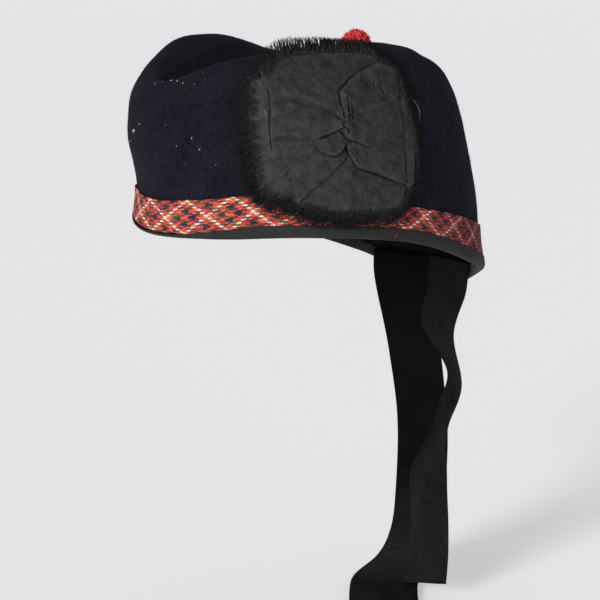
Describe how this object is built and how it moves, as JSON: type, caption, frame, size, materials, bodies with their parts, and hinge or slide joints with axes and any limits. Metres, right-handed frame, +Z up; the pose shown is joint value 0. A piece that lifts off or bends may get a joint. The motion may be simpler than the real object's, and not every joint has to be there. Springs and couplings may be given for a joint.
{
  "type": "glengarry cap",
  "caption": "Boat-shaped felt cap with a lengthwise crease, a tartan band, a bound rim, a frayed ribbon cockade on the left, a wool toorie and ribbon tails at the back.",
  "frame": {"origin": "middle of the head opening, at the height of the rim", "axes": "+Z up the wearer's head, -Y to the wearer's front, +X to the wearer's left, where the cockade is"},
  "size_m": [0.1613, 0.2022, 0.3124],
  "materials": {
    "felt": "matt wool felt",
    "tartan": "twill tartan ribbon on the bias",
    "binding_ribbon": "ribbed ribbon",
    "taffeta": "plain-woven ribbon, slight sheen",
    "frayed_edge": "loose threads",
    "wool": "looped wool yarn",
    "tail_ribbon": "ribbed ribbon, slight sheen"
  },
  "bodies": {
    "root": {"crown": "felt", "tartan_band": "tartan", "rim_binding": "binding_ribbon", "cockade": "taffeta", "cockade_fringe": "frayed_edge", "toorie": "wool", "tail_left": "tail_ribbon", "tail_right": "tail_ribbon"}
  },
  "joints": []
}
